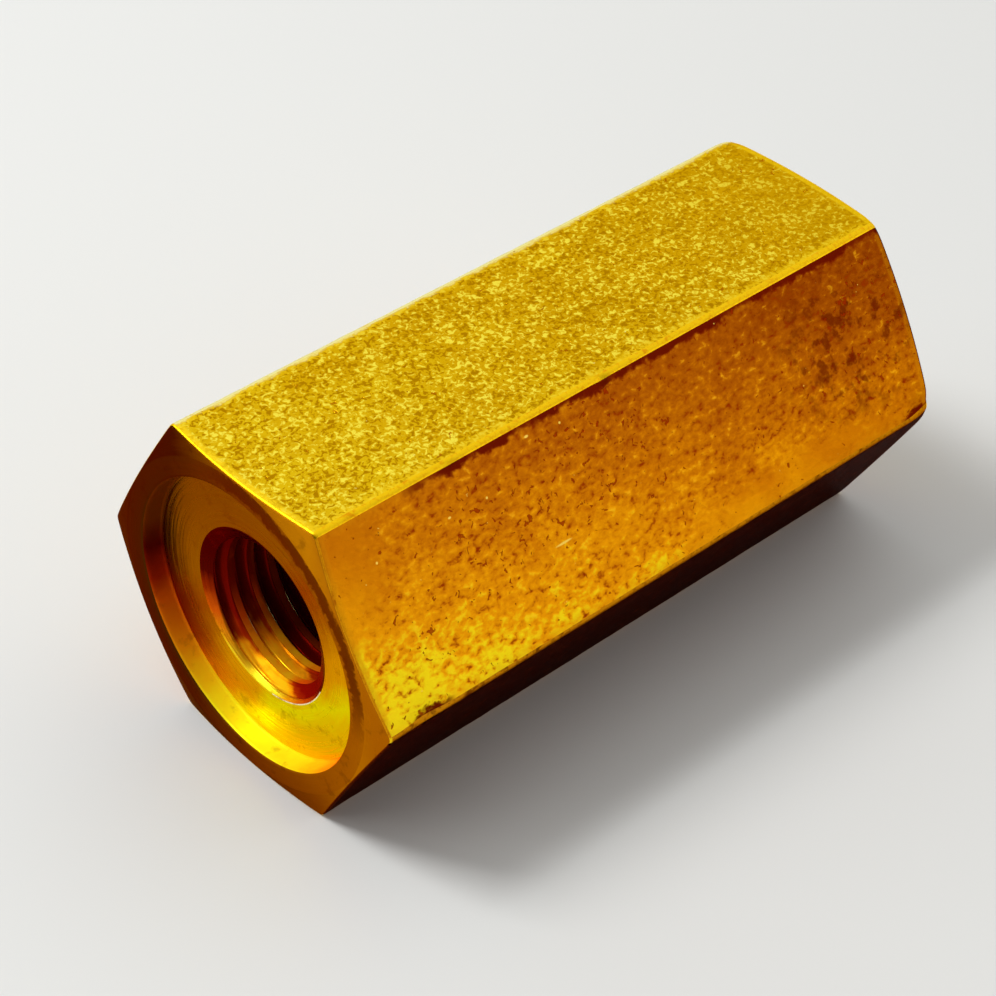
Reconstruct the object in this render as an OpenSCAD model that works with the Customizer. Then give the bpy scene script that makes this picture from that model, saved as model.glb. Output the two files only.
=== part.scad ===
// Hexagonal coupling nut, turned in one piece from drawn brass bar.
// A threaded hole runs right through it, and each end has a shallow
// flat-bottomed recess, a countersunk thread mouth and a chamfer that
// cuts the six corners back in crescents.
// The nut lies on one flat. +X runs along the thread and +Z is up.
// The origin is under the middle of the nut, on what it rests on.

/* [Bar] */
// Width of the hexagon across its flats
across_flats = 15.875; // [14:0.125:24]
// Length over the two end faces
nut_length = 33.2; // [20:0.1:60]
// Radius of the six long edges
edge_r = 0.3; // [0.1:0.05:1.5]

/* [End chamfer] */
// Angle between the end chamfer and the end face
chamfer_angle = 13; // [5:1:40]
// How far inside the flats the end chamfer starts
chamfer_inset = 0.1; // [0.05:0.05:0.4]

/* [Recess] */
// Width of the flat rim between the recess and the end chamfer
rim_w = 1; // [0.4:0.05:1.6]
// Depth of the recess below the end face
recess_depth = 1; // [0.3:0.05:3]

/* [Thread] */
// Diameter of the hole at the thread's crests
bore_d = 6.9; // [3:0.05:8]
// Width of the countersunk thread mouth, from the hole's wall outwards
mouth_w = 0.675; // [0.2:0.025:1]
// Included angle of the countersunk thread mouth
mouth_angle = 120; // [80:5:130]

/* [Hidden] */
$fn = 120;

SIDES = 6;
HALF_SIDE_ANGLE = 180 / SIDES;
// How far each cutter runs past the face that it cuts
OVERRUN = 1;
// How far the flats lie inside the corner arcs, so that they join cleanly
SEAM = 0.00002;

axis_height = across_flats / 2;
corner_centre_r = (across_flats / 2 - edge_r) / cos(HALF_SIDE_ANGLE);
face_r = across_flats / 2 - chamfer_inset;
recess_r = face_r - rim_w;
mouth_r = bore_d / 2 + mouth_w;
mouth_depth = mouth_w / tan(mouth_angle / 2);
// The turned outside reaches past the corners, and its setback follows
envelope_r = across_flats / 2 / cos(HALF_SIDE_ANGLE) + OVERRUN;
envelope_setback = (envelope_r - face_r) * tan(chamfer_angle);

// A point at the given radius and angle
function polar(r, angle) = r * [cos(angle), sin(angle)];

// The middle of the arc that rounds one corner of the hexagon
function corner_centre(i) = polar(corner_centre_r, i * 360 / SIDES);

// The two ends of that arc, where it meets the flats
function arc_ends(i) = [
    for (turn = [-HALF_SIDE_ANGLE, HALF_SIDE_ANGLE])
        corner_centre(i) + polar(edge_r - SEAM, i * 360 / SIDES + turn)
];

// Section of the drawn bar: a hexagon with round corners
module bar_section() {
    polygon([for (i = [0 : SIDES - 1]) each arc_ends(i)]);
    for (i = [0 : SIDES - 1])
        translate(corner_centre(i)) circle(r = edge_r);
}

// The bar, cut to length along X, with its axis through the origin
module bar() {
    rotate([90, 0, 90])
        linear_extrude(height = nut_length, center = true)
            bar_section();
}

// The turned outside that both end chamfers are part of
module turned_envelope() {
    rotate([0, 90, 0])
        rotate_extrude()
            polygon([
                [0, -nut_length / 2],
                [face_r, -nut_length / 2],
                [envelope_r, -nut_length / 2 + envelope_setback],
                [envelope_r, nut_length / 2 - envelope_setback],
                [face_r, nut_length / 2],
                [0, nut_length / 2]
            ]);
}

// The hole at the thread's crests, from end to end
module thread_bore() {
    rotate([0, 90, 0])
        cylinder(d = bore_d, h = nut_length + 2 * OVERRUN, center = true);
}

// Recess and countersunk thread mouth of the end at +X
module end_recess() {
    translate([nut_length / 2 - recess_depth, 0, 0])
        rotate([0, 90, 0]) {
            cylinder(r = recess_r, h = recess_depth + OVERRUN);
            translate([0, 0, -mouth_depth])
                cylinder(r1 = bore_d / 2, r2 = mouth_r, h = mouth_depth);
        }
}

// The whole nut, at its place above the surface that it lies on
module coupling_nut() {
    color("goldenrod")
        translate([0, 0, axis_height])
            difference() {
                intersection() {
                    bar();
                    turned_envelope();
                }
                thread_bore();
                end_recess();
                mirror([1, 0, 0]) end_recess();
            }
}

coupling_nut();
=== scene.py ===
"""Brass coupling nut: a faced, recessed and tapped length of hexagonal bar on a pale floor."""

import logging
import math
from dataclasses import dataclass, field
from enum import StrEnum, auto
from functools import cached_property
from typing import Callable, Sequence, Union

import bmesh
import bpy
from mathutils import Matrix, Vector, noise


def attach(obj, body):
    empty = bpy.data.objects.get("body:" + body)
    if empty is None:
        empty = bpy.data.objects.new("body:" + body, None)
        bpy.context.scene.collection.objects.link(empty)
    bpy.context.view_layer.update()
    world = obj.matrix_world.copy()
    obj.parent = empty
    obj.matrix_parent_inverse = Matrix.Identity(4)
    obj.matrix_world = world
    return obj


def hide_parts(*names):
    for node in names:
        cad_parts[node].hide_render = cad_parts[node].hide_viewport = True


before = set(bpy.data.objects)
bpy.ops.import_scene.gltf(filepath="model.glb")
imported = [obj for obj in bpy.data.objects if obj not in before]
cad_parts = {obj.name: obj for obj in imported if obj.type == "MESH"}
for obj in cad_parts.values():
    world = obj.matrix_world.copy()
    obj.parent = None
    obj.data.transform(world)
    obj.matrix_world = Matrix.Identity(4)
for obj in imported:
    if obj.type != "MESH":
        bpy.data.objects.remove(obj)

LOG = logging.getLogger("coupling_nut")
MM = 0.001
ACROSS_FLATS = 15.875
AXIS_HEIGHT = ACROSS_FLATS / 2
LENGTH = 33.2
# Radius where the end chamfers start on the end faces
FACE_R = 7.8375
# Radius of the thread's mouths
MOUTH_R = 4.125
SIDES = 6
FULL_TURN = 360.0
SIDE_ANGLE = FULL_TURN / SIDES
HALF_SIDE = SIDE_ANGLE / 2
# Slope of a thread's flank
FLANK_ANGLE = 30.0
# How far the skin stays inside the plain solid
INSET = 0.0001
# Where the end chamfers' cones would meet the axis, and their fall per millimetre outwards
CONE_TIP = 18.41
CONE_FALL = 0.2309
# Angles this close under a full turn count as 0
TURN_SLACK = 0.0001
# Vertices this close become one, and edges this short go, in metres
WELD_GAP = 2e-7
TINY_EDGE = 1e-7
# Number of the object coordinates among the outputs of a Texture Coordinate node
OBJECT_OUTPUT = 3

Colour = tuple[float, float, float]
Point = tuple[float, float, float]
Ring = list[int]
Tones = tuple[tuple[float, Colour], ...]


class Zone(StrEnum):
    """Areas of the nut that are finished in their own way; some carry painted light and some painted
    shade.
    """

    GOLD_FLAT = auto()
    AMBER_FLAT = auto()
    DARK_FLAT = auto()
    LONG_EDGE = auto()
    PALE_EDGE = auto()
    AMBER_EDGE = auto()
    DULL_EDGE = auto()
    END_CHAMFER = auto()
    RIM = auto()
    RECESS_WALL = auto()
    RECESS_FLOOR = auto()
    MOUTH = auto()
    MOUTH_RIM = auto()
    CREST = auto()
    CREST_EDGE = auto()
    FLANK = auto()


@dataclass(frozen=True)
class Wire:
    """An output socket that takes part in expressions on values and vectors.

    Attributes:
        paint: The nodes that it belongs to.
        socket: The socket.
    """

    paint: "Paint"
    socket: bpy.types.NodeSocket

    def _join(self, operation: str, left: "Term", right: "Term") -> "Wire":
        """Join two terms with the Math or Vector Math node that suits this wire."""
        kind = "ShaderNodeVectorMath" if self.socket.type == "VECTOR" else "ShaderNodeMath"
        return self.paint.node(kind, {0: left, 1: right}, operation=operation)[0]

    def __add__(self, other: "Term") -> "Wire":
        """Sum."""
        return self._join("ADD", self, other)

    def __radd__(self, other: "Term") -> "Wire":
        """Sum, reflected."""
        return self._join("ADD", other, self)

    def __sub__(self, other: "Term") -> "Wire":
        """Difference."""
        return self._join("SUBTRACT", self, other)

    def __rsub__(self, other: "Term") -> "Wire":
        """Difference, reflected."""
        return self._join("SUBTRACT", other, self)

    def __mul__(self, other: "Term") -> "Wire":
        """Product."""
        return self._join("MULTIPLY", self, other)

    def __rmul__(self, other: "Term") -> "Wire":
        """Product, reflected."""
        return self._join("MULTIPLY", other, self)

    def __truediv__(self, other: "Term") -> "Wire":
        """Quotient."""
        return self._join("DIVIDE", self, other)

    def __abs__(self) -> "Wire":
        """Size of a value."""
        return self.paint.math("ABSOLUTE", self)


Term = Union[Wire, float, Colour]
Feeds = dict[str | int, Term]


class Paint:
    """The nodes of one material or sky, written as expressions."""

    def __init__(self, owner: bpy.types.Material | bpy.types.World) -> None:
        """Start with no nodes.

        Args:
            owner: The material or world that they belong to.
        """
        self.owner = owner
        owner.use_nodes = True
        self.tree = owner.node_tree
        self.tree.nodes.clear()

    @classmethod
    def material(cls, name: str) -> "Paint":
        """Start a new material under a name."""
        return cls(bpy.data.materials.new(name))

    def node(self, kind: str, inputs: Feeds, **settings: object) -> tuple[Wire, ...]:
        """Add a node, set it up and feed its sockets.

        Args:
            kind: Type of the node.
            inputs: Values or wires of its sockets, by name or number. A vector's socket takes
                one number for all three of its parts.
            settings: Values of its properties; "stops" are a ramp's places and colours.

        Returns:
            The wires of its outputs.
        """
        made = self.tree.nodes.new(kind)
        for key, value in settings.items():
            if key == "stops":
                self._set_stops(made.color_ramp.elements, value)
            else:
                setattr(made, key, value)
        for key, value in inputs.items():
            target = made.inputs[key]
            if isinstance(value, Wire):
                self.tree.links.new(value.socket, target)
            elif target.type == "RGBA":
                target.default_value = (*value, 1.0)
            elif target.type == "VECTOR" and isinstance(value, (int, float)):
                target.default_value = (value,) * 3
            else:
                target.default_value = value
        return tuple(Wire(self, socket) for socket in made.outputs)

    @staticmethod
    def _set_stops(elements: bpy.types.ColorRampElements, stops: Tones) -> None:
        """Give a colour ramp its stops.

        Args:
            elements: The ramp's two first stops.
            stops: Places from 0 to 1 with their colours.
        """
        elements.remove(elements[1])
        elements[0].position = stops[0][0]
        elements[0].color = (*stops[0][1], 1.0)
        for place, colour in stops[1:]:
            elements.new(place).color = (*colour, 1.0)

    def math(self, operation: str, *terms: Term) -> Wire:
        """Join values with a Math node."""
        return self.node("ShaderNodeMath", dict(enumerate(terms)), operation=operation)[0]

    def most(self, *terms: Term) -> Wire:
        """Give the larger of two values."""
        return self.math("MAXIMUM", *terms)

    def mix(self, base: Term, other: Term, factor: Term) -> Wire:
        """Cross from one colour to another."""
        return self.node("ShaderNodeMix", {0: factor, 6: base, 7: other}, data_type="RGBA")[2]

    def tone(self, place: Wire, tones: Tones) -> Wire:
        """Read a colour off a ramp."""
        return self.node("ShaderNodeValToRGB", {0: place}, stops=tones)[0]

    def axes(self, vector: Wire) -> tuple[Wire, ...]:
        """Split a vector into its three values."""
        return self.node("ShaderNodeSeparateXYZ", {0: vector})

    def vector(self, x: Term, y: Term, z: Term) -> Wire:
        """Join three values into a vector."""
        return self.node("ShaderNodeCombineXYZ", {0: x, 1: y, 2: z})[0]

    def grain(
        self,
        place: Wire,
        scale: float,
        detail: float = 2.0,
        roughness: float = 0.5,
        distortion: float = 0.0,
    ) -> Wire:
        """Give smooth noise.

        Args:
            place: Where it is read, in millimetres.
            scale: Features per millimetre.
            detail: Number of finer layers.
            roughness: Strength of each finer layer.
            distortion: How far the noise is pulled about.

        Returns:
            A value around 0.5.
        """
        names = ("Vector", "Scale", "Detail", "Roughness", "Distortion")
        terms = (place, scale, detail, roughness, distortion)
        return self.node("ShaderNodeTexNoise", dict(zip(names, terms)))[0]

    def spread(self, value: Term, low: float, high: float, smooth: bool = True) -> Wire:
        """Map a range of a value to the range from 0 to 1.

        Args:
            value: The value.
            low: The value that gives 0.
            high: The value that gives 1.
            smooth: Whether the change starts and ends gently.

        Returns:
            The mapped value.
        """
        kind = "SMOOTHSTEP" if smooth else "LINEAR"
        inputs = {"Value": value, 1: low, 2: high}
        return self.node("ShaderNodeMapRange", inputs, interpolation_type=kind)[0]

    def bump(self, height: Wire, distance: float) -> Wire:
        """Turn a height from 0 to 1 into a normal, with a full step in millimetres."""
        return self.node("ShaderNodeBump", {"Height": height, "Distance": distance * MM})[0]

    def metal(
        self, colour: Term, roughness: Term, normal: Wire, glance: Colour, metallic: float = 1.0
    ) -> bpy.types.Material:
        """Finish the material as metal.

        Args:
            colour: Colour of the metal.
            roughness: Its roughness.
            normal: Its normal.
            glance: Tint of what it reflects at a low angle.
            metallic: Share of bare metal; the rest is a thin matt film.

        Returns:
            The material.
        """
        return self.surface(
            {
                "Base Color": colour,
                "Roughness": roughness,
                "Metallic": metallic,
                "Specular IOR Level": 0.0,
                "Specular Tint": glance,
                "Normal": normal,
            }
        )

    def surface(self, inputs: Feeds) -> bpy.types.Material:
        """Close the material with its shader.

        Args:
            inputs: Values or wires of the shader's sockets.

        Returns:
            The material.
        """
        shader = self.node("ShaderNodeBsdfPrincipled", inputs)[0]
        self.node("ShaderNodeOutputMaterial", {"Surface": shader})
        return self.owner


@dataclass(frozen=True)
class Spot:
    """Where a material is being read, in millimetres.

    Attributes:
        paint: The material.
        place: The place on the nut.
        x: Its place along the nut.
        y: Its level distance from the axis.
        z: Its height over the floor.
        level: Its height over the axis.
    """

    paint: Paint
    place: Wire
    x: Wire
    y: Wire
    z: Wire
    level: Wire

    @classmethod
    def of(cls, name: str) -> "Spot":
        """Start a material and read its place.

        Args:
            name: Name of the material.

        Returns:
            The spot.
        """
        paint = Paint.material(name)
        place = paint.node("ShaderNodeTexCoord", {})[OBJECT_OUTPUT] * (1 / MM)
        x, y, z = paint.axes(place)
        return cls(paint, place, x, y, z, z - AXIS_HEIGHT)

    @cached_property
    def radius(self) -> Wire:
        """Distance from the axis."""
        return self.paint.math("SQRT", self.y * self.y + self.level * self.level)

    @cached_property
    def across(self) -> Wire:
        """Place across the flat.

        Returns:
            A value from -1 to 1 that grows with the angle about the axis.
        """
        half = math.radians(HALF_SIDE)
        turn = self.paint.math("ARCTAN2", self.level, self.y) + 2.0 * math.pi
        folded = self.paint.math("MODULO", turn, 2.0 * half) - half
        return self.paint.math("TANGENT", folded) * (1 / math.tan(half))


GLANCE: Colour = (0.75, 0.4, 0.06)
# Direction across the bore in which its painted light and shade change
BORE_LEAN = (-0.17, 0.985)


@dataclass(frozen=True)
class Patch:
    """Patch of a flat.

    Attributes:
        x: Its middle along the nut, in millimetres.
        across: Its middle across the flat, from -1 to 1.
        length: Its reach along the nut, in millimetres.
        width: Its reach across the flat, as a share of half the flat.
    """

    x: float
    across: float
    length: float
    width: float

    def mask(self, spot: Spot, ragged: Wire | None = None) -> Wire:
        """Give 1 in the patch's middle and 0 outside it.

        Args:
            spot: The place.
            ragged: How far the patch is moved across the flat there, if at all.

        Returns:
            The share of the patch.
        """
        across = spot.across if ragged is None else spot.across + ragged
        along = (spot.x - self.x) / self.length
        aside = (across - self.across) / self.width
        return spot.paint.spread(along * along + aside * aside, 1.0, 0.1)


@dataclass(frozen=True)
class Grain:
    """Fine mottle of a flat.

    Attributes:
        scale: Its cells per millimetre.
        stretch: How much longer its cells are along the nut.
        lift: Noise levels where it starts to be lit and where it is fully lit.
        dip: Noise levels where it starts to be hollow and where it is fully hollow.
        lit: Colour of the raised grain.
        low: Colour of the hollows.
        ripple: How far the mottle moves the flat's tone.
        pull: How far the mottle is pulled about.
    """

    scale: float
    stretch: float
    lift: tuple[float, float]
    dip: tuple[float, float]
    lit: Colour
    low: Colour
    ripple: float = 0.0
    pull: float = 0.8

    def level(self, spot: Spot) -> Wire:
        """Read the noise of the mottle.

        Args:
            spot: The place.

        Returns:
            The noise level, around 0.5.
        """
        paint = spot.paint
        stretched = paint.vector(spot.x / self.stretch, spot.y, spot.z)
        coarse = paint.grain(stretched, self.scale * 0.28)
        return paint.grain(stretched, self.scale, distortion=self.pull) + 0.3 * (coarse - 0.5)


@dataclass(frozen=True)
class GrainedFlat:
    """Drawn flat with a fine grain, small pits, scratches and painted glints; on some flats its
    tones, border and edge line also paint light and shade.

    Attributes:
        tones: Colours of the flat's slow change.
        slope: Rise of the place among the tones per millimetre along the nut and from the middle
        of the flat to its edge; on the amber flats it paints light and shade, brighter towards
        the near end and the lower edge.
        drift: How much that place wanders.
        grain: The fine mottle.
        border: Colour of the border along the sides and the ends, partly rubbed wear and partly
            painted highlight.
        edge_line: Colour of the line along the edge where the angle starts: a painted highlight on
            the gold flats, a dark line on the amber flats.
        edge_line_cover: Least cover of that line, from 0 for a broken to 1 for a whole one.
        pit: Colour of the pits.
        pitting: How readily pits form outside the patches.
        patches: Patches with more pits.
        glint_and_scratch: Colour of the painted glints and of the scratches.
        scratches: The scratches.
        edge_line_width: Width of the line, as a share of half the flat.
        edge_line_from: Place along the nut from which the line runs, in millimetres.
        stains: Stains of the line's colour.
        calm: Parts that are rubbed smooth.
        blotches: Parts with soft blotches of the line's colour.
        rub: Share of the border's colour in the border, which paints wear and highlight.
        glance: Tint of what the flat reflects at a low angle.
    """

    tones: Tones
    slope: tuple[float, float]
    drift: float
    grain: Grain
    border: Colour
    edge_line: Colour
    edge_line_cover: float
    pit: Colour
    pitting: float
    patches: tuple[Patch, ...] = ()
    glint_and_scratch: Colour = (1.0, 0.72, 0.12)
    scratches: tuple[Patch, ...] = ()
    edge_line_width: float = 0.07
    edge_line_from: float = -20.0
    stains: tuple[Patch, ...] = ()
    calm: tuple[Patch, ...] = ()
    blotches: tuple[Patch, ...] = ()
    rub: float = 0.7
    glance: Colour = GLANCE

    def dress(self, name: str) -> bpy.types.Material:
        """Build the material.

        Args:
            name: Its name.

        Returns:
            The material.
        """
        spot = Spot.of(name)
        paint = spot.paint
        fine = self.grain.level(spot)
        broad = paint.grain(spot.place, 0.45, 3.0)
        # rubbed is the border's share: partly rubbed wear, partly painted highlight.
        rubbed = self._worn_lit_border(spot, fine)
        shown = 1.0 - 0.7 * rubbed
        for patch in self.calm:
            shown = shown * (1.0 - 0.85 * patch.mask(spot))
        shift = spot.x * self.slope[0] + spot.across * self.slope[1] + self.drift * (broad - 0.5)
        shift = shift + self.grain.ripple * (fine - 0.5) * shown
        edge_lined = self._edge_lined(spot, fine)
        pitted = self._pitted(spot)
        layers = [
            (self.border, self.rub * rubbed),
            (self.grain.lit, paint.spread(fine, *self.grain.lift) * shown),
            (self.grain.low, paint.spread(fine, *self.grain.dip) * shown),
        ]
        for patch in self.blotches:
            blotch = paint.spread(paint.grain(spot.place, 1.2, 3.0, 0.6), 0.50, 0.64)
            layers.append((self.edge_line, 0.72 * blotch * patch.mask(spot)))
        layers += [
            # The edge line: a painted highlight on the gold flats, a dark line on the amber flats.
            (self.pit, edge_lined),
            (self.edge_line, edge_lined),
            (self.pit, 0.85 * pitted),
            (self.glint_and_scratch, self._glints_and_scratches(spot)),
        ]
        colour = paint.tone(0.5 + shift, self.tones)
        for layer, share in layers:
            colour = paint.mix(colour, layer, share)
        normal = paint.bump(fine - 0.6 * pitted, 0.02)
        return paint.metal(colour, 0.36 + 0.1 * broad, normal, self.glance)

    def _worn_lit_border(self, spot: Spot, fine: Wire) -> Wire:
        """Give the share of the border along the sides and the ends, which is partly rubbed wear and
        partly painted highlight.

        Args:
            spot: The place.
            fine: Noise level of the mottle.

        Returns:
            The share, from 0 to 1.
        """
        end_gap = CONE_TIP - CONE_FALL * spot.radius - abs(spot.x) + 0.15 * (fine - 0.5)
        sides = spot.paint.spread(abs(spot.across) + 0.2 * (fine - 0.5), 0.86, 0.98)
        return spot.paint.most(sides, spot.paint.spread(end_gap, 0.42, 0.28))

    def _edge_lined(self, spot: Spot, fine: Wire) -> Wire:
        """Give the share of the line along the edge and of the stains.

        Args:
            spot: The place.
            fine: Noise level of the mottle.

        Returns:
            The share, from 0 to 1.
        """
        paint = spot.paint
        run = paint.grain(paint.vector(spot.x, spot.across * 2.0, 0.0), 0.5, 4.0, 0.6)
        cover = paint.most(paint.spread(run, 0.36, 0.5), self.edge_line_cover)
        begun = spot.x + 4.0 * (run - 0.5)
        cover = cover * paint.spread(begun, self.edge_line_from, self.edge_line_from + 2.5)
        width = self.edge_line_width
        ragged = spot.across + 0.1 * (fine - 0.5) - width * 3.0 * (run - 0.5)
        share = cover * paint.spread(ragged, width * 1.3 - 1.0, width * 0.7 - 1.0)
        for stain in self.stains:
            share = paint.most(share, stain.mask(spot, 0.2 * (fine - 0.5)))
        return 0.92 * share

    def _pitted(self, spot: Spot) -> Wire:
        """Give the share of pits.

        Args:
            spot: The place.

        Returns:
            The share, from 0 to 1.
        """
        spots = spot.paint.grain(spot.place, 3.0, 2.0, 0.6, 0.6)
        share: Term = self.pitting
        for patch in self.patches:
            share = spot.paint.most(share, patch.mask(spot))
        return spot.paint.spread(spots + 0.07 * share, 0.69, 0.73)

    def _glints_and_scratches(self, spot: Spot) -> Wire:
        """Give the share of painted glints and scratches.

        Args:
            spot: The place.

        Returns:
            The share, from 0 to 1.
        """
        # Sparse bright specks: painted glints.
        specks = spot.paint.grain(spot.place + (3.7, 1.3, 9.1), 3.0, 2.0, 0.6)
        share = spot.paint.spread(specks, 0.74, 0.80)
        for scratch in self.scratches:
            share = spot.paint.most(share, scratch.mask(spot))
        return share


@dataclass(frozen=True)
class WornLitEdge:
    """Edge with small dull marks; its colours are partly rubbed wear and partly painted light: a
    painted highlight on most edges and the mouth's rim, painted shade on the lower front edges.

    Attributes:
        bright: Main colour of the edge: rubbed metal and painted highlight, or painted shade on the
            lower front edges.
        dull: Colour of the marks.
        glance: Tint of what it reflects at a low angle.
        metallic: Share of bare metal; the rest is a thin matt film.
    """

    bright: Colour
    dull: Colour
    glance: Colour
    metallic: float = 1.0

    def dress(self, name: str) -> bpy.types.Material:
        """Build the material.

        Args:
            name: Its name.

        Returns:
            The material.
        """
        spot = Spot.of(name)
        paint = spot.paint
        marks = paint.spread(paint.grain(spot.place, 1.6, 3.0, 0.6), 0.56, 0.7)
        rub = paint.grain(spot.place, 6.0)
        colour = paint.mix(self.bright, self.dull, 0.7 * marks)
        colour = paint.mix(colour, self.dull, 0.35 * paint.spread(rub, 0.5, 0.66))
        normal = paint.bump(rub, 0.01)
        return paint.metal(colour, 0.28 + 0.14 * rub, normal, self.glance, self.metallic)


@dataclass(frozen=True)
class TurnedFace:
    """Turned surface with tool marks about the axis and painted light and shade: a tone that changes
    across the nut.

    Attributes:
        tones: Its colours, which paint light and shade.
        reach: Distances along the lean where the tones start and end, in millimetres.
        roughness: Roughness of the metal.
        stain: Colour of the small stains.
        lean: Direction in which the tones change, level and upright; the direction of the painted
            light.
        marks: Height of the tool marks, in millimetres.
        stained: Share of the surface that the stains take.
        metallic: Share of bare metal; the rest is a thin matt film.
        deep_shade: Painted shade far inside the nut, if it differs.
        deep_shade_at: Distances from the middle where that painted shade starts and is full, in
            millimetres.
        scuff: Colour of the scuffed ring.
        ring: Inner and outer radius of that ring, in millimetres, if there is one.
    """

    tones: Tones
    reach: tuple[float, float]
    roughness: float
    stain: Colour
    lean: tuple[float, float] = BORE_LEAN
    marks: float = 0.002
    stained: float = 0.3
    metallic: float = 1.0
    deep_shade: Colour | None = None
    deep_shade_at: tuple[float, float] = (13.5, 13.3)
    scuff: Colour = (0.11, 0.018, 0.001)
    ring: tuple[float, float] | None = None

    def dress(self, name: str) -> bpy.types.Material:
        """Build the material.

        Args:
            name: Its name.

        Returns:
            The material.
        """
        spot = Spot.of(name)
        paint = spot.paint
        radius = spot.radius
        sweep = paint.vector(radius * 7.0, spot.y / radius * 0.9, spot.level / radius * 0.9)
        marks = paint.grain(sweep, 1.0, 2.0, 0.6)
        cloud = paint.grain(spot.place, 0.5, 3.0, 0.6)
        # Painted light and shade: the tone follows the lean across the nut.
        along = spot.y * self.lean[0] + spot.level * self.lean[1]
        uneven = along + 1.6 * (cloud - 0.5) + 0.8 * (marks - 0.5)
        colour = paint.tone(paint.spread(uneven, *self.reach, smooth=False), self.tones)
        stains = paint.spread(paint.grain(spot.place, 1.3, 3.0, 0.6), 0.56, 0.72) * self.stained
        colour = paint.mix(colour, self.stain, stains)
        # Painted shade deeper inside the bore.
        if self.deep_shade is not None:
            depth = abs(spot.x) + 0.3 * (cloud - 0.5)
            colour = paint.mix(colour, self.deep_shade, paint.spread(depth, *self.deep_shade_at))
        if self.ring is not None:
            colour = paint.mix(colour, self.scuff, self._scuffed(spot))
        roughness = self.roughness + 0.1 * (marks - 0.5) + 0.1 * stains
        return paint.metal(colour, roughness, paint.bump(marks, self.marks), GLANCE, self.metallic)

    def _scuffed(self, spot: Spot) -> Wire:
        """Give the share of the scuffed ring.

        Args:
            spot: The place.

        Returns:
            The share, from 0 to 1.
        """
        paint = spot.paint
        inner, outer = self.ring
        ragged = spot.radius + 1.1 * (paint.grain(spot.place, 2.2, 3.0, 0.7) - 0.5)
        band = paint.spread(ragged, inner - 0.12, inner + 0.08)
        band = band * paint.spread(ragged, outer + 0.1, outer - 0.1)
        upper_front = paint.spread(spot.level, -2.0, 2.0) * paint.spread(spot.y, 3.5, 0.0)
        return 0.8 * band * upper_front


@dataclass(frozen=True)
class PaleFloor:
    """Plain matt floor.

    Attributes:
        body: Its colour.
    """

    body: Colour

    def dress(self, name: str) -> bpy.types.Material:
        """Build the material under a name."""
        return Paint.material(name).surface({"Base Color": self.body, "Roughness": 0.9})


@dataclass(frozen=True)
class SoftSky:
    """Sky that is bright on one side and dim on the other.

    Attributes:
        bright_side: Direction of its brightest part.
        dim: Colour of its dim side, times its strength.
        bright: Colour of its bright side, times its strength.
    """

    bright_side: Point
    dim: Colour
    bright: Colour

    def light(self) -> bpy.types.World:
        """Build the sky.

        Returns:
            The world.
        """
        paint = Paint(bpy.data.worlds.new("sky"))
        aims = {0: paint.node("ShaderNodeTexCoord", {})[0], 1: Vector(self.bright_side).normalized()}
        facing = paint.node("ShaderNodeVectorMath", aims, operation="DOT_PRODUCT")[1]
        colour = paint.mix(self.dim, self.bright, paint.spread(facing, -0.25, 0.9))
        sheet = paint.node("ShaderNodeBackground", {"Color": colour})[0]
        paint.node("ShaderNodeOutputWorld", {"Surface": sheet})
        return paint.owner


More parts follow.
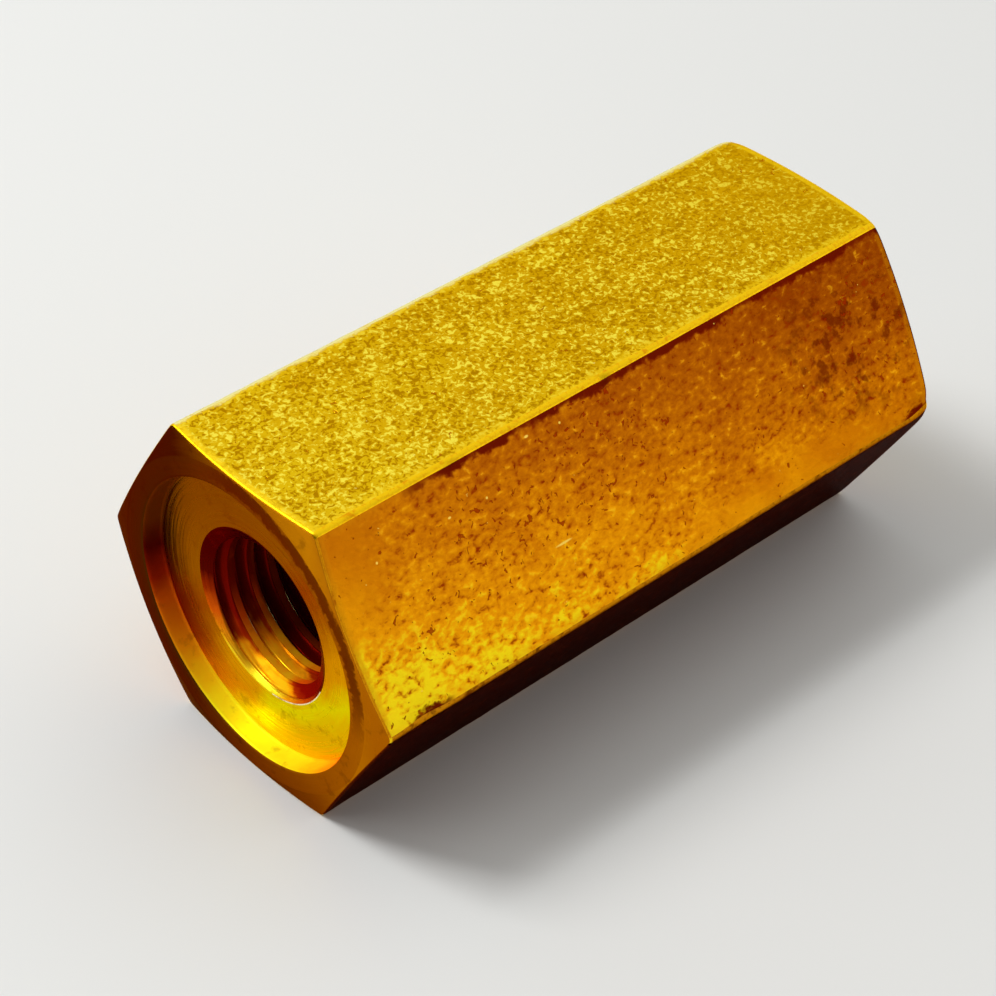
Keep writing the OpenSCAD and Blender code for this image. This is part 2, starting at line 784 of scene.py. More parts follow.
FINISHES = {
    # Gold flats: the edge line is a painted highlight, the border partly rubbed wear and partly
    # painted highlight, and the sparse specks painted glints.
    Zone.GOLD_FLAT: GrainedFlat(
        tones=((0.0, (0.66, 0.38, 0.004)), (0.5, (0.72, 0.42, 0.005)), (1.0, (0.80, 0.54, 0.009))),
        slope=(-0.022, 0.0), drift=1.2,
        grain=Grain(
            scale=4.4, stretch=1.0, lift=(0.54, 0.66), dip=(0.47, 0.36),
            lit=(1.0, 0.86, 0.08), low=(0.48, 0.24, 0.001),
        ),
        border=(1.0, 0.70, 0.02), edge_line=(1.0, 0.88, 0.25), edge_line_cover=1.0, edge_line_width=0.06,
        calm=(Patch(47.0, 0.0, 42.0, 4.0),),
        pit=(0.45, 0.14, 0.002), pitting=0.0, glint_and_scratch=(1.0, 0.90, 0.25),
    ),
    # Amber flats: the tones and slope paint light and shade, brighter towards the near end and the
    # lower edge, darker towards the upper edge and the far end.
    Zone.AMBER_FLAT: GrainedFlat(
        tones=(
            (0.0, (0.30, 0.055, 0.001)), (0.3, (0.46, 0.115, 0.002)),
            (0.55, (0.66, 0.21, 0.002)), (0.8, (0.90, 0.37, 0.003)), (1.0, (1.0, 0.78, 0.01)),
        ),
        slope=(-0.017, 0.29), drift=0.5,
        grain=Grain(
            scale=3.6, stretch=1.4, lift=(0.62, 0.92), dip=(0.42, 0.20),
            lit=(1.0, 0.50, 0.015), low=(0.32, 0.035, 0.001), ripple=0.8, pull=0.25,
        ),
        border=(0.78, 0.33, 0.006), rub=0.25, edge_line=(0.13, 0.006, 0.001), edge_line_cover=0.8,
        edge_line_width=0.10, edge_line_from=-12.5,
        calm=(Patch(-15.8, -0.8, 2.8, 1.2), Patch(8.0, 0.9, 9.0, 0.35)),
        stains=(
            Patch(-14.0, 0.98, 1.3, 0.10), Patch(-1.2, -0.93, 1.3, 0.10),
            Patch(15.4, 0.98, 1.2, 0.10),
        ),
        pit=(0.32, 0.026, 0.001), pitting=0.2,
        patches=(
            Patch(-13.2, 0.18, 2.0, 0.5), Patch(-8.5, -0.2, 3.0, 0.8),
            Patch(-2.0, -0.3, 6.5, 0.9), Patch(14.0, -0.05, 4.0, 1.0),
        ),
        blotches=(Patch(13.0, -0.1, 5.5, 0.95),),
        scratches=(
            Patch(-5.35, 0.22, 0.55, 0.014), Patch(-14.1, -0.50, 0.07, 0.016),
            Patch(-10.2, -0.53, 0.10, 0.014), Patch(-8.2, -0.52, 0.07, 0.016),
            Patch(-5.4, -0.84, 0.14, 0.016), Patch(-3.6, -0.80, 0.07, 0.016),
        ),
    ),
    # Lower front flat: painted shade; its near-black tones and dark low-angle tint stand in for the
    # shadow it lies in.
    Zone.DARK_FLAT: GrainedFlat(
        tones=((0.0, (0.09, 0.008, 0.001)), (1.0, (0.14, 0.016, 0.001))),
        slope=(0.0, -0.2), drift=0.4,
        grain=Grain(
            scale=3.8, stretch=1.2, lift=(0.55, 0.85), dip=(0.48, 0.25),
            lit=(0.36, 0.07, 0.002), low=(0.05, 0.004, 0.001),
        ),
        border=(0.3, 0.07, 0.002), edge_line=(0.05, 0.004, 0.001), edge_line_cover=0.5,
        pit=(0.05, 0.003, 0.001), pitting=0.3, glint_and_scratch=(0.3, 0.1, 0.005),
        glance=(0.10, 0.02, 0.003),
    ),
    # Long edges and the gold flats' end edges: partly rubbed wear, partly a painted highlight.
    Zone.LONG_EDGE: WornLitEdge(
        bright=(1.0, 0.63, 0.006), dull=(0.8, 0.28, 0.003), glance=(1.0, 0.95, 0.6)
    ),
    # Top back edge: a whitish painted highlight.
    Zone.PALE_EDGE: WornLitEdge(
        bright=(1.0, 0.94, 0.42), dull=(0.95, 0.70, 0.15), glance=(1.0, 0.97, 0.6)
    ),
    # Amber flats' near-end edges: a painted highlight.
    Zone.AMBER_EDGE: WornLitEdge(
        bright=(1.0, 0.40, 0.005), dull=(0.62, 0.13, 0.002), glance=(0.9, 0.3, 0.02), metallic=0.3
    ),
    # Lower front edges: painted shade.
    Zone.DULL_EDGE: WornLitEdge(
        bright=(0.62, 0.24, 0.006), dull=(0.08, 0.008, 0.001), glance=(0.5, 0.2, 0.02)
    ),
    # End chamfers: painted light and shade, lighter towards the front and darker towards the back.
    Zone.END_CHAMFER: TurnedFace(
        tones=(
            (0.0, (0.50, 0.15, 0.003)), (0.17, (0.60, 0.22, 0.004)),
            (0.55, (0.30, 0.09, 0.002)), (1.0, (0.06, 0.012, 0.001)),
        ),
        lean=(0.85, -0.25), reach=(-7.0, 2.0), marks=0.01, roughness=0.42,
        stain=(0.05, 0.006, 0.001),
    ),
    # Rims: painted light and shade, lighter at the front and darker at the back; the scuffed ring is
    # wear.
    Zone.RIM: TurnedFace(
        tones=((0.0, (0.50, 0.16, 0.003)), (0.6, (0.22, 0.055, 0.002)), (1.0, (0.075, 0.02, 0.002))),
        lean=(1.0, 0.0), reach=(-8.0, 4.5), marks=0.01, roughness=0.42,
        stain=(0.05, 0.006, 0.001), ring=(7.15, 7.8),
    ),
    # Recess walls: painted light at the bottom, painted shade at the top.
    Zone.RECESS_WALL: TurnedFace(
        tones=(
            (0.0, (1.0, 0.92, 0.01)), (0.11, (1.0, 0.64, 0.006)), (0.2, (1.0, 0.38, 0.004)),
            (0.42, (1.0, 0.18, 0.003)), (0.6, (0.45, 0.025, 0.001)),
            (0.78, (0.12, 0.003, 0.001)), (1.0, (0.19, 0.035, 0.001)),
        ),
        lean=(0.0, 1.0), reach=(-6.8, 1.5), marks=0.006, roughness=0.3,
        stain=(0.20, 0.012, 0.001), metallic=0.15,
    ),
    # Recess floors: painted light towards the lower front, painted shade towards the upper back.
    Zone.RECESS_FLOOR: TurnedFace(
        tones=(
            (0.0, (1.0, 0.66, 0.006)), (0.1, (1.0, 0.92, 0.006)), (0.2, (0.92, 0.44, 0.005)),
            (0.3, (0.88, 0.40, 0.004)), (0.45, (0.50, 0.16, 0.003)),
            (0.57, (0.38, 0.085, 0.002)), (0.72, (0.36, 0.12, 0.003)),
            (1.0, (0.27, 0.085, 0.003)),
        ),
        lean=(0.6, 0.8), reach=(-5.4, 5.4), marks=0.028, roughness=0.28,
        stain=(0.16, 0.025, 0.001),
    ),
    # Thread mouths: painted light at the bottom, painted shade at the top.
    Zone.MOUTH: TurnedFace(
        tones=(
            (0.0, (1.0, 0.78, 0.02)), (0.1, (1.0, 0.38, 0.006)), (0.3, (0.75, 0.11, 0.003)),
            (0.5, (0.30, 0.02, 0.001)), (0.62, (0.10, 0.003, 0.001)),
            (1.0, (0.08, 0.002, 0.001)),
        ),
        reach=(-4.0, 1.0), marks=0.03, roughness=0.24, stain=(0.14, 0.004, 0.001),
        stained=0.8, metallic=0.7,
    ),
    # Crests: painted light at the bottom, painted shade at the top and deeper in.
    Zone.CREST: TurnedFace(
        tones=(
            (0.0, (1.0, 0.62, 0.008)), (0.1, (1.0, 0.28, 0.003)), (0.2, (0.95, 0.11, 0.002)),
            (0.42, (0.30, 0.012, 0.001)), (1.0, (0.12, 0.003, 0.001)),
        ),
        reach=(-3.65, 1.5), roughness=0.45, stain=(0.5, 0.05, 0.001), metallic=0.4,
        deep_shade=(0.35, 0.035, 0.001),
    ),
    # Crest lines: a whitish painted highlight along one edge of each crest, darker towards the top.
    Zone.CREST_EDGE: TurnedFace(
        tones=((0.0, (1.0, 0.96, 0.45)), (0.6, (1.0, 0.80, 0.3)), (1.0, (0.3, 0.03, 0.001))),
        reach=(-3.4, 1.5), roughness=0.14, stain=(0.3, 0.03, 0.001),
    ),
    # Flanks: painted light at the bottom, painted shade at the top and deeper in.
    Zone.FLANK: TurnedFace(
        tones=(
            (0.0, (1.0, 0.55, 0.008)), (0.05, (1.0, 0.34, 0.003)), (0.11, (0.45, 0.03, 0.001)),
            (0.2, (0.26, 0.005, 0.001)), (1.0, (0.14, 0.002, 0.0005)),
        ),
        reach=(-3.65, 1.5), roughness=0.22, stain=(0.20, 0.004, 0.0005), metallic=0.4,
        deep_shade=(0.16, 0.003, 0.0005),
    ),
    # Mouth rims: a painted highlight on part of the rim.
    Zone.MOUTH_RIM: WornLitEdge(
        bright=(1.0, 0.92, 0.6), dull=(0.5, 0.08, 0.002), glance=(1.0, 1.0, 0.8)
    ),
}


def place_object(name: str, data: bpy.types.ID) -> bpy.types.Object:
    """Put an object in the scene.

    Args:
        name: Its name.
        data: Its mesh, lamp or camera.

    Returns:
        The object.
    """
    made = bpy.data.objects.new(name, data)
    bpy.context.scene.collection.objects.link(made)
    return made


@dataclass
class Skin:
    """Vertices and faces of one closed surface, in millimetres about the thread's axis.

    Attributes:
        points: The vertices.
        faces: Vertex numbers of each face.
        zones: The zone of each face.
    """

    points: list[Point] = field(default_factory=list)
    faces: list[tuple[int, ...]] = field(default_factory=list)
    zones: list[Zone] = field(default_factory=list)

    def ring(self, angles: Sequence[float], place: Callable[[float], tuple[float, float]]) -> Ring:
        """Add one ring of vertices.

        Args:
            angles: Angle of each vertex about the axis, in degrees.
            place: Gives the place along the axis and the radius for an angle.

        Returns:
            The numbers of its vertices.
        """
        first = len(self.points)
        for angle in angles:
            x, radius = place(angle)
            turn = math.radians(angle)
            self.points.append((x, radius * math.cos(turn), radius * math.sin(turn)))
        return list(range(first, len(self.points)))

    def face(self, corners: tuple[int, ...], zone: Zone) -> None:
        """Add one face."""
        self.faces.append(corners)
        self.zones.append(zone)

    def band(self, low: Ring, high: Ring, zone_of: Callable[[int], Zone]) -> None:
        """Join two rings of the same count.

        Args:
            low: One ring.
            high: The next ring.
            zone_of: Gives the zone for a place in the ring.
        """
        count = len(low)
        for i in range(count):
            j = (i + 1) % count
            self.face((low[i], low[j], high[j], high[i]), zone_of(i))

    def stitch(self, outer: Ring, inner: Ring, zone: Zone) -> None:
        """Join two rings of different counts that both start at the same angle.

        Args:
            outer: One ring.
            inner: The other ring.
            zone: Zone of the faces between them.
        """
        turns = [[self._turn(number) for number in ring] + [FULL_TURN] for ring in (outer, inner)]
        i = j = 0
        while i < len(outer) or j < len(inner):
            corner = (outer[i % len(outer)], inner[j % len(inner)])
            if j >= len(inner) or (i < len(outer) and turns[0][i + 1] <= turns[1][j + 1]):
                i += 1
                self.face((*corner, outer[i % len(outer)]), zone)
            else:
                j += 1
                self.face((*corner, inner[j % len(inner)]), zone)

    def _turn(self, number: int) -> float:
        """Work out a vertex's angle about the axis.

        Args:
            number: The vertex's number.

        Returns:
            The angle, from 0 to 360 degrees.
        """
        _, y, z = self.points[number]
        turn = math.degrees(math.atan2(z, y)) % FULL_TURN
        return 0.0 if turn > FULL_TURN - TURN_SLACK else turn

    def build(self, name: str, finishes: dict[Zone, object]) -> bpy.types.Object:
        """Make the object, with its faces turned outwards.

        Args:
            name: Name of the object.
            finishes: The finish of each zone.

        Returns:
            The object.
        """
        mesh = bpy.data.meshes.new(name)
        points = [(x * MM, y * MM, (z + AXIS_HEIGHT) * MM) for x, y, z in self.points]
        mesh.from_pydata(points, [], self.faces)
        order = list(finishes)
        for zone in order:
            mesh.materials.append(finishes[zone].dress(zone.value))
        mesh.polygons.foreach_set("material_index", [order.index(zone) for zone in self.zones])
        mesh.update()
        work = bmesh.new()
        work.from_mesh(mesh)
        bmesh.ops.remove_doubles(work, verts=work.verts, dist=WELD_GAP)
        bmesh.ops.dissolve_degenerate(work, edges=work.edges, dist=TINY_EDGE)
        bmesh.ops.recalc_face_normals(work, faces=work.faces)
        for piece in work.faces:
            piece.smooth = True
        open_edges = sum(not edge.is_manifold for edge in work.edges)
        LOG.info("%s: %d faces, %d open edges", name, len(work.faces), open_edges)
        work.to_mesh(mesh)
        work.free()
        return place_object(name, mesh)


@dataclass(frozen=True)
class Nick:
    """Small dent in the outside.

    Attributes:
        x: Its place along the nut.
        angle: Its angle about the axis, in degrees.
        length: Its reach along the nut.
        width: Its reach across.
        depth: Its depth.
    """

    x: float
    angle: float
    length: float
    width: float
    depth: float

    def sink(self, x: float, angle: float, radius: float) -> float:
        """Give how far it sinks one place of the outside.

        Args:
            x: The place along the nut.
            angle: The place's angle.
            radius: The place's radius.

        Returns:
            The depth there.
        """
        turn = (angle - self.angle + FULL_TURN / 2) % FULL_TURN - FULL_TURN / 2
        across = math.radians(turn) * radius / self.width
        along = (x - self.x) / self.length
        return self.depth * math.exp(-(across * across + along * along))


@dataclass
class HexBar:
    """Outside of the nut: six flats, rounded long edges and the chamfered corners.

    Attributes:
        across_flats: Width over two flats.
        length: Length over the end faces.
        edge_r: Radius of the long edges.
        chamfer_angle: Angle between the end chamfer and the end face, in degrees.
        face_r: Where the end chamfer starts.
        break_r: Radius that breaks the sharp end edges.
        edges: Zone of each long edge, from the back one over the top.
        flats: Zone of each flat, from the upper back one over the top.
        nicks: Dents in the outside.
        step: Distance between two rings along the body.
        fine_step: That distance near a nick.
        near: How near that is, in the nick's lengths.
        wear: How far the long edges are worn, on average.
        worn_from: Radius where that wear starts.
        worn_over: Rise of the radius over which it grows to the full.
        end_gap: How far the body's rings stop before the end faces.
    """

    across_flats: float = ACROSS_FLATS - 2 * INSET
    length: float = LENGTH
    edge_r: float = 0.3
    chamfer_angle: float = 13.0
    face_r: float = FACE_R
    break_r: float = 0.13
    step: float = 0.36
    fine_step: float = 0.11
    near: float = 2.2
    wear: float = 0.018
    worn_from: float = 8.9
    worn_over: float = 0.22
    end_gap: float = 0.5
    # The top back edge carries a painted highlight and the two lower front edges painted shade.
    edges: tuple[Zone, ...] = (
        Zone.LONG_EDGE, Zone.PALE_EDGE, Zone.LONG_EDGE,
        Zone.DULL_EDGE, Zone.DULL_EDGE, Zone.LONG_EDGE,
    )
    # The lower front flat takes the painted shade finish.
    flats: tuple[Zone, ...] = (
        Zone.GOLD_FLAT, Zone.GOLD_FLAT, Zone.AMBER_FLAT,
        Zone.DARK_FLAT, Zone.GOLD_FLAT, Zone.AMBER_FLAT,
    )
    nicks: tuple[Nick, ...] = (
        Nick(-0.9, 120.6, 0.35, 0.22, 0.10), Nick(-14.4, 179.0, 0.9, 0.30, 0.12),
        Nick(15.9, 178.2, 0.8, 0.30, 0.12), Nick(5.2, 119.4, 0.3, 0.15, 0.05),
        Nick(-9.5, 120.5, 0.5, 0.15, 0.05), Nick(16.6, 60.0, 0.6, 0.5, 0.15),
        Nick(16.6, 120.0, 0.5, 0.4, 0.10), Nick(16.6, 180.0, 0.7, 0.6, 0.20),
    )

    @property
    def centre_r(self) -> float:
        """Radius at which the corner arcs have their centres."""
        return (self.across_flats / 2 - self.edge_r) / math.cos(math.radians(HALF_SIDE))

    @property
    def arc_half(self) -> float:
        """Half the angle that a corner arc takes up about the axis.

        Returns:
            The angle, in degrees.
        """
        slant = math.radians(HALF_SIDE)
        out = self.centre_r + self.edge_r * math.cos(slant)
        return math.degrees(math.atan2(self.edge_r * math.sin(slant), out))

    @staticmethod
    def _from_corner(angle: float) -> float:
        """Fold an angle to the one from the nearest corner."""
        return (angle + HALF_SIDE) % SIDE_ANGLE - HALF_SIDE

    def angles(self) -> list[float]:
        """List the angles of a ring, close together round the corners.

        Returns:
            Angles in degrees, from 0.
        """
        half = self.arc_half
        steps, arc_steps = 24, 4
        reach = HALF_SIDE - half
        flat = [HALF_SIDE - reach * math.cos(math.pi * i / steps) for i in range(steps + 1)]
        arc = [half * i / arc_steps for i in range(arc_steps)]
        side = arc + flat + [SIDE_ANGLE - a for a in reversed(arc[1:])]
        return [SIDE_ANGLE * i + a for i in range(SIDES) for a in side]

    def radius(self, angle: float) -> float:
        """Give the radius of the bar's section at an angle.

        Args:
            angle: The angle about the axis.

        Returns:
            The radius.
        """
        turn = self._from_corner(angle)
        if abs(turn) >= self.arc_half:
            return self.across_flats / 2 / math.cos(math.radians(HALF_SIDE - abs(turn)))
        turn = math.radians(turn)
        reach = self.edge_r**2 - (self.centre_r * math.sin(turn)) ** 2
        return self.centre_r * math.cos(turn) + math.sqrt(reach)

    def end(self, radius: float) -> float:
        """Give where the end surface stands at a radius, as a distance from the middle."""
        setback = max(0.0, radius - self.face_r) * math.tan(math.radians(self.chamfer_angle))
        return self.length / 2 - setback

    def zone(self, angle: float) -> Zone:
        """Give the zone of the outside.

        Args:
            angle: The angle about the axis.

        Returns:
            The zone there.
        """
        if abs(self._from_corner(angle)) < self.arc_half:
            return self.edges[round(angle / SIDE_ANGLE) % SIDES]
        return self.flats[int(angle // SIDE_ANGLE) % SIDES]

    def outer(self, x: float, angle: float) -> float:
        """Give the radius of the outside, with its wear, at a place.

        Args:
            x: Place along the nut.
            angle: Angle about the axis.

        Returns:
            The radius.
        """
        radius = self.radius(angle)
        near_edge = max(0.0, radius - self.worn_from) / self.worn_over
        uneven = noise.noise(Vector((x * 0.9, angle * 0.2, 3.1))) + 1.0
        radius -= self.wear * uneven * min(1.0, near_edge)
        return radius - sum(nick.sink(x, angle, radius) for nick in self.nicks)

    def build(self, skin: Skin) -> tuple[Ring, Ring]:
        """Add the outside, from the rim at -X to the rim at +X.

        Args:
            skin: The surface that it joins.

        Returns:
            The rings where the chamfers meet the end faces, at -X and at +X.
        """
        angles = self.angles()
        zones = [self.zone((a + b) / 2) for a, b in zip(angles, [*angles[1:], FULL_TURN])]
        ends = [self._chamfer(skin, angles, side) for side in (-1, 1)]
        rows = [skin.ring(angles, lambda a, x=x: (x, self.outer(x, a))) for x in self._stations()]
        body = [ends[0][-1], *rows, ends[1][-1]]
        for low, high in zip(body, body[1:]):
            skin.band(low, high, lambda i: zones[i])
        # End edges: the amber flats' ones carry a painted highlight at the near end and painted
        # shade at the far end.
        for end, front_end_zone in zip(ends, (Zone.AMBER_EDGE, Zone.DARK_FLAT)):
            beside = {Zone.DARK_FLAT: Zone.DARK_FLAT, Zone.AMBER_FLAT: front_end_zone}
            for low, high in zip(end[:-3], end[1:-2]):
                skin.band(low, high, lambda i: Zone.END_CHAMFER)
            for low, high in zip(end[-3:-1], end[-2:]):
                skin.band(low, high, lambda i: beside.get(zones[i], Zone.LONG_EDGE))
        return ends[0][0], ends[1][0]

    def _stations(self) -> list[float]:
        """List the places of the rings along the body.

        Returns:
            Places along the nut, close together at the nicks.
        """
        reach = self.length / 2 - self.end_gap
        places = []
        x = -reach
        while x < reach:
            places.append(x)
            gap = min(abs(x - nick.x) / nick.length for nick in self.nicks)
            x += self.fine_step if gap < self.near else self.step
        places.append(reach)
        return places

    def _chamfer(self, skin: Skin, angles: Sequence[float], side: int) -> list[Ring]:
        """Add the rings of one end chamfer and of its broken outer edge.

        Args:
            skin: The surface that it joins.
            angles: The angles of a ring.
            side: -1 for the end at -X, 1 for the end at +X.

        Returns:
            Its rings, from the end face outwards.
        """
        slope = math.radians(self.chamfer_angle)
        turn = math.radians(90.0 - self.chamfer_angle)
        tangent = self.break_r * math.tan(turn / 2)

        def cone(angle: float, share: float) -> tuple[float, float]:
            """Give a place on the chamfer.

            Args:
                angle: The angle about the axis.
                share: The share of the chamfer's width, from the end face.

            Returns:
                The place along the axis and the radius.
            """
            outer = self.outer(side * self.length / 2, angle)
            inner_r = outer - tangent * math.cos(slope)
            radius = self.face_r + (inner_r - self.face_r) * share
            return side * self.end(radius), radius

        def broken(angle: float, share: float) -> tuple[float, float]:
            """Give a place on the broken edge.

            Args:
                angle: The angle about the axis.
                share: The share of the edge's turn, from the chamfer.

            Returns:
                The place along the axis and the radius.
            """
            outer = self.outer(side * self.length / 2, angle)
            around = turn * (1.0 - share)
            x = self.end(outer) - tangent + self.break_r * math.sin(around)
            radius = outer - self.break_r * (1.0 - math.cos(around))
            return side * x, radius

        rings = [skin.ring(angles, lambda a, s=s: cone(a, s)) for s in (0.0, 0.25, 0.5, 0.75, 1.0)]
        rings += [skin.ring(angles, lambda a, s=s: broken(a, s)) for s in (0.33, 0.66, 1.0)]
        return rings


@dataclass
class RecessedEnd:
    """Faced end: a flat rim round a shallow recess with a flat floor.

    Attributes:
        length: Length over the end faces.
        recess_r: Radius of the recess.
        depth: Depth of the recess.
        lip_r: Radius that breaks the recess's outer edge.
        root_r: Radius between the recess's wall and floor.
        floor_r: Radius of the ring that parts the floor.
        mouth_r: Radius of the thread's mouth.
        mouth_rim: Width of the mouth's rim.
        highlight_arc: Angles between which that rim carries a painted highlight, in degrees.
        arc_steps: Steps in each of the two roundings.
    """

    length: float = LENGTH
    recess_r: float = 6.8375
    depth: float = 1.0
    lip_r: float = 0.16
    root_r: float = 0.12
    floor_r: float = 5.4
    mouth_r: float = MOUTH_R
    mouth_rim: float = 0.03
    highlight_arc: tuple[float, float] = (200.0, 262.0)
    arc_steps: int = 4

    def build(self, skin: Skin, rim: Ring, mouth: Ring, angles: Sequence[float], side: int) -> None:
        """Add the end, from the chamfer's edge to the thread's mouth.

        Args:
            skin: The surface that it joins.
            rim: The ring where the chamfer meets the end face.
            mouth: The ring of the thread's mouth.
            angles: Angles of the rim's ring.
            side: -1 for the end at -X, 1 for the end at +X.
        """
        top = self.length / 2
        bottom = top - self.depth
        steps = self.arc_steps
        quarter = [math.radians(90.0 * i / steps) for i in range(steps + 1)]
        lip, root = self.lip_r, self.root_r
        wall = self.recess_r
        profile = [
            (top, (wall + FACE_R) / 2),
            *((top - lip * (1 - math.cos(a)), wall + lip * (1 - math.sin(a))) for a in quarter),
            *((top - self.depth * share, wall) for share in (0.3, 0.6)),
            *((bottom + root * (1 - math.sin(a)), wall - root * (1 - math.cos(a))) for a in quarter),
            (bottom, self.floor_r),
        ]
        rings = [rim]
        rings += [skin.ring(angles, lambda a, x=x, r=r: (side * x, r)) for x, r in profile]
        # The lip takes the rim's finish with its painted shade; the wall and floor take their own
        # painted light and shade.
        zones = [Zone.RIM] * steps + [Zone.RECESS_WALL] * (2 * steps + 1) + [Zone.RECESS_FLOOR]
        for zone, low, high in zip(zones, rings, rings[1:]):
            skin.band(low, high, lambda i, zone=zone: zone)
        turns = [FULL_TURN * i / len(mouth) for i in range(len(mouth))]
        edge = skin.ring(turns, lambda a: (side * bottom, self.mouth_r + self.mouth_rim))
        skin.stitch(rings[-1], edge, Zone.RECESS_FLOOR)
        # Painted highlight on part of the mouth's rim.
        start, stop = self.highlight_arc
        skin.band(edge, mouth, lambda i: Zone.MOUTH_RIM if start < turns[i] < stop else Zone.MOUTH)


@dataclass
class TappedBore:
    """Right-hand thread through the nut, with a countersunk mouth at each end.

    Attributes:
        reach: Distance from the middle to each mouth.
        crest_r: Radius at the crests.
        root_r: Radius at the roots.
        pitch: Advance in one turn.
        crest_at: Where a crest stands at angle 0.
        crest_half: Half the width of a crest.
        mouth_r: Radius of each mouth.
        mouth_half_angle: Half the included angle of the mouths, in degrees.
        steps: Steps in one turn.
        fine_turns: Turns at each end that are cut with all their rows.
        blend: Reach of the rounding at crests and roots.
        mouth_blend: Reach of the rounding where the mouths cut the thread.
        end_gap: How far the thread's rows stop before the mouths' edges.
        bright: Width of the painted highlight line on a crest's edge, inside the crest and outside
            it.
    """

    reach: float = 15.6
    crest_r: float = 3.45
    root_r: float = 3.96
    pitch: float = 1.0583
    crest_at: float = -14.503
    crest_half: float = 0.20
    mouth_r: float = MOUTH_R
    mouth_half_angle: float = 60.0
    steps: int = 144
    fine_turns: int = 6
    blend: float = 0.05
    mouth_blend: float = 0.03
    end_gap: float = 0.012
    bright: tuple[float, float] = (0.03, 0.06)

    def form(self, offset: float) -> float:
        """Give the thread's radius at a distance from a crest's middle.

        Args:
            offset: Distance along the axis.

        Returns:
            The radius.
        """
        away = abs(self._from_crest(offset))
        flank = self.crest_r + (away - self.crest_half) / math.tan(math.radians(FLANK_ANGLE))
        low = self._soft_max(flank, self.crest_r, self.blend)
        return -self._soft_max(-low, -self.root_r, self.blend)

    def _from_crest(self, offset: float) -> float:
        """Fold a distance along the axis to the one from the nearest crest."""
        return ((offset / self.pitch + 0.5) % 1.0 - 0.5) * self.pitch

    @staticmethod
    def _soft_max(a: float, b: float, blend: float) -> float:
        """Give the larger of two values, with the corner between them rounded."""
        gap = max(0.0, 1.0 - abs(a - b) / blend)
        return max(a, b) + gap * gap * blend / 4

    def mouth(self, x: float) -> float:
        """Give the radius of the nearer mouth's cone at a place along the axis."""
        return self.mouth_r - (self.reach - abs(x)) * math.tan(math.radians(self.mouth_half_angle))

    def rows(self) -> list[float]:
        """List where the rows stand at angle 0, in order along the axis.

        Returns:
            Places along the axis; they reach a turn past the mouth at -X.
        """
        half = (0.08, 0.15, 0.185, 0.205, 0.225, 0.26, 0.33, 0.40, 0.45, 0.485)
        fine = tuple(-offset for offset in reversed(half)) + (0.0, *half, self.pitch / 2)
        coarse = (-0.47, -0.215, 0.215, 0.47)
        first = math.floor((-self.reach - self.pitch - self.crest_at) / self.pitch) - 1
        last = math.ceil((self.reach - self.crest_at) / self.pitch) + 1
        places: list[float] = []
        for turn in range(first, last + 1):
            ends = min(turn - first, last - turn)
            offsets = fine if ends < self.fine_turns + 2 else coarse
            places += [self.crest_at + self.pitch * turn + offset for offset in offsets]
        low = -self.reach - self.pitch * 1.3
        high = self.reach + self.pitch * 0.3
        return sorted(place for place in places if low <= place <= high)

    def build(self, skin: Skin) -> tuple[Ring, Ring]:
        """Add the thread.

        Args:
            skin: The surface that it joins.

        Returns:
            The rings of the mouths at -X and at +X.
        """
        turns = [FULL_TURN * i / self.steps for i in range(self.steps)]
        places = self.rows()
        edge = self.reach - self.end_gap

        def spot(angle: float, start: float) -> tuple[float, float]:
            """Give a place on the thread's surface.

            Args:
                angle: The angle about the axis.
                start: Where its row starts, along the axis.

            Returns:
                The place along the axis and the radius.
            """
            advance = self.pitch * angle / FULL_TURN
            x = min(edge, max(-edge, start + advance))
            cut = self.form(x - advance - self.crest_at)
            return x, self._soft_max(cut, self.mouth(x), self.mouth_blend)

        rows = [skin.ring(turns, lambda a, p=p: spot(a, p)) for p in places]
        closing = [self._after_one_turn(places, place) for place in places]
        for number, (low, high) in enumerate(zip(rows, rows[1:])):
            middle = (places[number] + places[number + 1]) / 2
            zones = [self._zone(turn, middle) for turn in turns]
            for i in range(self.steps - 1):
                skin.face((low[i], low[i + 1], high[i + 1], high[i]), zones[i])
            ends = [row[0] for row in rows[closing[number] : closing[number + 1] + 1]]
            for near, far in zip(ends, [*ends[1:], high[-1]]):
                skin.face((low[-1], near, far), zones[-1])
        return rows[0], rows[-1]

    def _zone(self, angle: float, start: float) -> Zone:
        """Give the zone at an angle of a row.

        Args:
            angle: Angle about the axis.
            start: Where the row starts, along the axis.

        Returns:
            The zone; a crest's painted highlight line is on the edge away from the nearer mouth.
        """
        x = start + self.pitch * angle / FULL_TURN
        if self.mouth(x) > self.form(start - self.crest_at):
            return Zone.MOUTH
        offset = math.copysign(1.0, -x) * self._from_crest(start - self.crest_at)
        # Painted highlight line along one edge of each crest.
        inside, outside = self.bright
        if not self.blend - self.crest_half < offset < self.crest_half + outside:
            return Zone.FLANK
        return Zone.CREST_EDGE if offset > self.crest_half - inside else Zone.CREST

    def _after_one_turn(self, places: Sequence[float], place: float) -> int:
        """Find the row that a row runs into after one turn."""
        wanted = place + self.pitch
        return min(range(len(places)), key=lambda number: abs(places[number] - wanted))


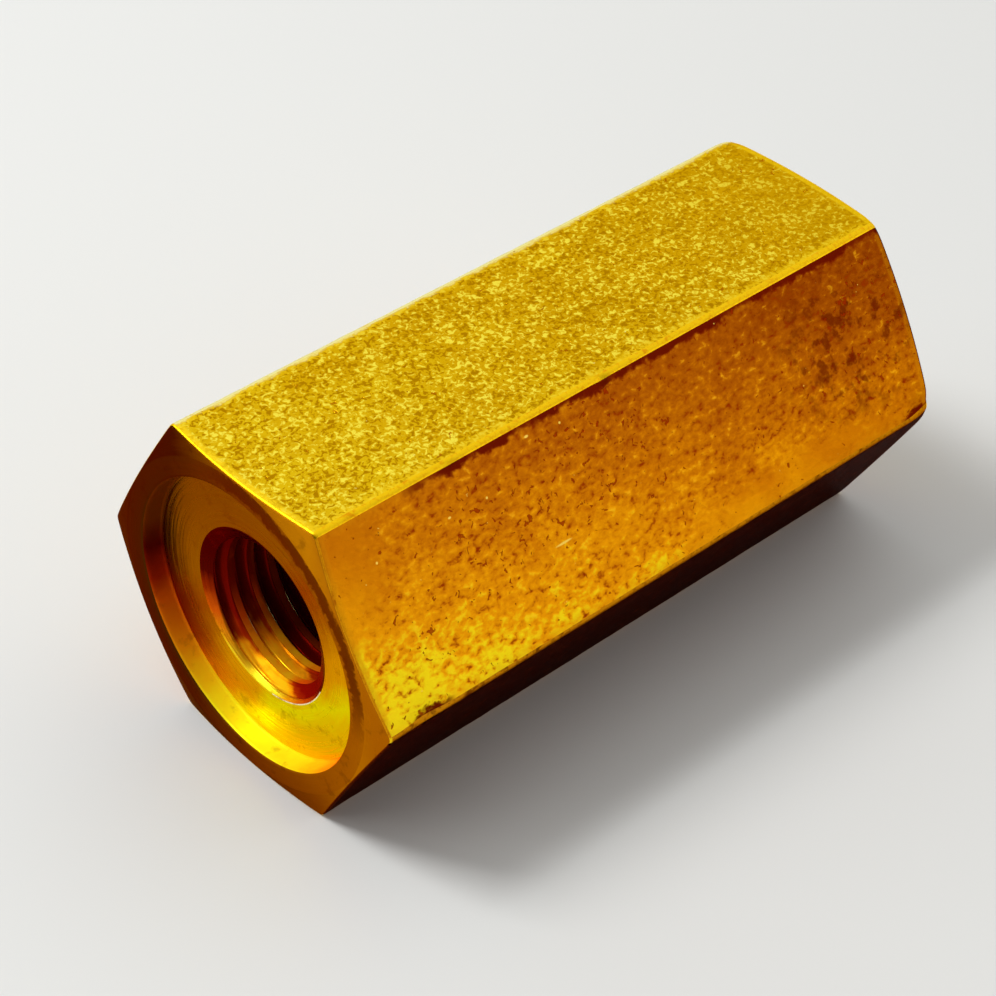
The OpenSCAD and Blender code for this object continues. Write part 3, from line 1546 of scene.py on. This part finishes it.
@dataclass
class CouplingNut:
    """The whole nut, built as one closed surface.

    Attributes:
        bar: Its outside.
        end: Its two faced ends.
        bore: Its thread.
    """

    bar: HexBar = field(default_factory=HexBar)
    end: RecessedEnd = field(default_factory=RecessedEnd)
    bore: TappedBore = field(default_factory=TappedBore)

    def build(self) -> bpy.types.Object:
        """Build and dress the nut in place of its plain solid.

        Returns:
            The object.
        """
        skin = Skin()
        rims = self.bar.build(skin)
        mouths = self.bore.build(skin)
        for side, rim, mouth in zip((-1, 1), rims, mouths):
            self.end.build(skin, rim, mouth, self.bar.angles(), side)
        nut = skin.build("nut", FINISHES)
        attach(nut, "root")
        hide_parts("coupling_nut")
        return nut


@dataclass
class Camera:
    """Camera at the fitted place.

    Attributes:
        place: Where it stands, in millimetres.
        azimuth: Its direction round the nut, in degrees.
        elevation: Its height angle, in degrees.
        roll: Its turn about its own line of sight, in degrees.
        focal: Focal length in picture widths.
        shift: Shift to the side, in picture widths.
        sensor: Width of the sensor, in millimetres.
    """

    place: Point = (-67.8585, -69.4670, 87.9625)
    azimuth: float = -43.3416
    elevation: float = 40.2699
    roll: float = 1.6005
    focal: float = 2.831560241
    shift: float = 0.00157
    sensor: float = 36.0

    def build(self) -> bpy.types.Object:
        """Make the camera and use it.

        Returns:
            The camera's object.
        """
        turn, rise, roll = (math.radians(a) for a in (self.azimuth, self.elevation, self.roll))
        level = math.cos(rise)
        back = Vector((math.sin(turn) * level, -math.cos(turn) * level, math.sin(rise)))
        ahead = -back
        right = ahead.cross(Vector((0, 0, 1))).normalized()
        down = ahead.cross(right)
        axis_x = math.cos(roll) * right - math.sin(roll) * down
        axis_y = -(math.sin(roll) * right + math.cos(roll) * down)
        lens = bpy.data.cameras.new("camera")
        lens.sensor_width = self.sensor
        lens.lens = self.sensor * self.focal
        lens.shift_x = self.shift
        lens.clip_start = 0.005
        made = place_object("camera", lens)
        pose = Matrix((axis_x, axis_y, back)).transposed().to_4x4()
        pose.translation = Vector(self.place) * MM
        made.matrix_world = pose
        bpy.context.scene.camera = made
        return made


@dataclass(frozen=True)
class Lamp:
    """Soft rectangular lamp that faces the nut.

    Attributes:
        name: Its name.
        place: Where it hangs, in millimetres.
        size: Its width and height, in millimetres.
        power: Its power in watts.
        colour: Its colour.
    """

    name: str
    place: Point
    size: tuple[float, float]
    power: float
    colour: Colour = (1.0, 1.0, 1.0)

    def build(self) -> bpy.types.Object:
        """Hang the lamp.

        Returns:
            The lamp's object.
        """
        light = bpy.data.lights.new(self.name, "AREA")
        light.shape = "RECTANGLE"
        light.size, light.size_y = (side * MM for side in self.size)
        light.energy = self.power
        light.color = self.colour
        made = place_object(self.name, light)
        made.location = Vector(self.place) * MM
        aim = Vector((0.0, 0.0, AXIS_HEIGHT * MM)) - made.location
        made.rotation_euler = aim.to_track_quat("-Z", "Y").to_euler()
        return made


@dataclass
class Studio:
    """Pale floor, soft lamps and a plain sky.

    Attributes:
        floor: Finish of the floor.
        floor_side: Width of the floor, in millimetres.
        lamps: The lamps.
        sky: The sky.
    """

    floor: PaleFloor = field(default_factory=lambda: PaleFloor((0.72, 0.73, 0.72)))
    floor_side: float = 1600.0
    lamps: tuple[Lamp, ...] = (
        Lamp("key", (-140.0, 170.0, 320.0), (120.0, 120.0), 0.9),
        Lamp("side", (165.0, -270.0, 90.0), (300.0, 160.0), 0.12, (1.0, 0.9, 0.72)),
        Lamp("window", (-280.0, 200.0, 75.0), (160.0, 110.0), 0.2),
    )
    sky: SoftSky = SoftSky((0.60, 0.36, 0.70), (0.08, 0.076, 0.072), (0.86, 0.8514, 0.8342))

    def build(self) -> None:
        """Lay the floor, hang the lamps and light the sky."""
        half = self.floor_side / 2 * MM
        mesh = bpy.data.meshes.new("floor")
        corners = [(-half, -half, 0), (half, -half, 0), (half, half, 0), (-half, half, 0)]
        mesh.from_pydata(corners, [], [(0, 1, 2, 3)])
        mesh.materials.append(self.floor.dress("pale_floor"))
        floor = place_object("floor", mesh)
        for lamp in self.lamps:
            lamp.build()
        bpy.context.scene.world = self.sky.light()
        bpy.context.scene.view_settings.view_transform = "Standard"


def main() -> None:
    """Build the nut and its studio, and report each piece."""
    logging.basicConfig(level=logging.INFO, format="%(message)s")
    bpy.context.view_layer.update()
    nut = CouplingNut().build()
    LOG.info("%s stands for the plain solid", nut.name)
    Studio().build()
    Camera().build()


if __name__ == "__main__":
    main()
